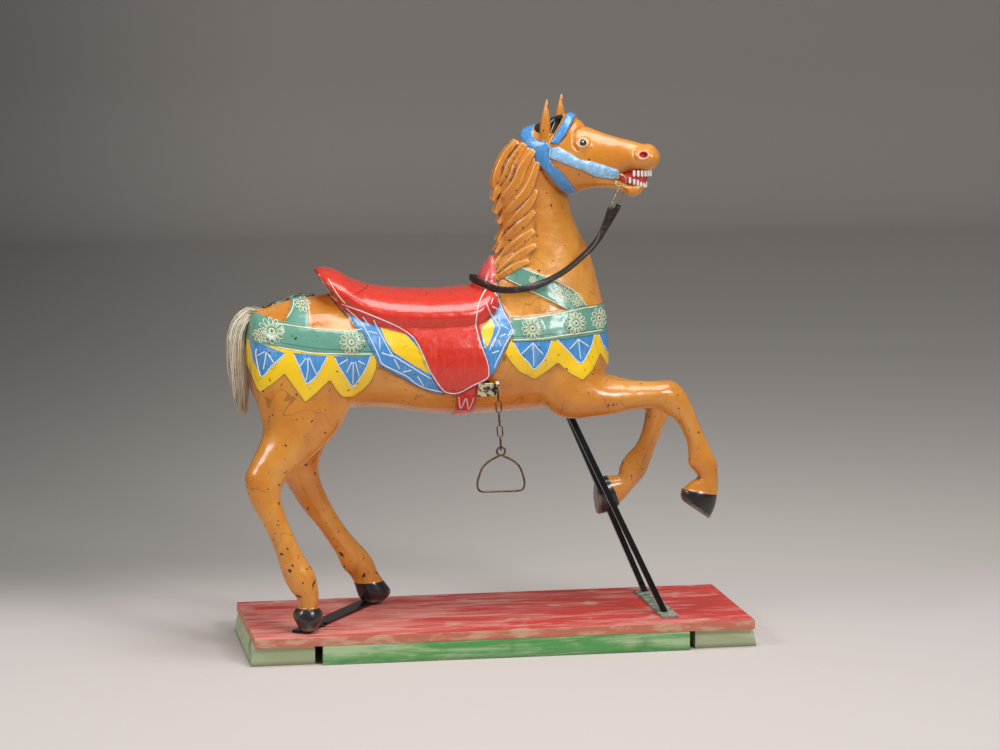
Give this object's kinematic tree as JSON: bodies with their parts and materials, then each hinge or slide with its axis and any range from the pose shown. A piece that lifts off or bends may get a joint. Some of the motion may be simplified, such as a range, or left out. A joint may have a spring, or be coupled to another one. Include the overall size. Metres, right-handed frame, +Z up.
{
  "type": "carousel horse on a stand",
  "caption": "Carved and painted carousel horse, rearing, with saddle, harness, rein and stirrup, fixed on its painted wooden travelling stand.",
  "frame": {"origin": "middle of the underside of the whole object's bounding box, on the floor", "axes": "+X towards the horse's head, +Y to the horse's left, +Z up"},
  "size_m": [1.1402, 0.39, 1.206],
  "materials": {
    "carved_paint": "gloss ochre, red, blue, yellow and sage paint on carved wood, chipped and cracked",
    "tail_hair": "cream horsehair tail",
    "rein_leather": "dark brown worn leather",
    "nickel": "dull nickelled wire",
    "black_steel": "dark oiled steel, bright on the edges",
    "stirrup_iron": "dull brown iron wire",
    "worn_iron": "worn pale grey-green paint on iron",
    "plank_paint": "scuffed red-pink paint on a plank",
    "board_paint": "thin green paint on bare boards"
  },
  "bodies": {
    "root": {"bit_ring_left": "nickel", "bit_ring_right": "nickel", "end_batten_front": "board_paint", "end_batten_rear": "board_paint", "foot_bolt_1": "worn_iron", "foot_bolt_2": "worn_iron", "foot_bolt_3": "worn_iron", "foot_bolt_4": "worn_iron", "hoof_bar": "black_steel", "hoof_bolt_1": "black_steel", "hoof_bolt_2": "black_steel", "horse": "carved_paint", "plank": "plank_paint", "rein_strap": "rein_leather", "side_board_left": "board_paint", "side_board_right": "board_paint", "snap_hook_left": "nickel", "snap_hook_right": "nickel", "stand_bar_left": "black_steel", "stand_bar_right": "black_steel", "stand_foot_plate": "worn_iron", "staple_plate": "worn_iron", "stirrup": "stirrup_iron", "stirrup_chain": "stirrup_iron", "tail": "tail_hair"}
  },
  "joints": []
}
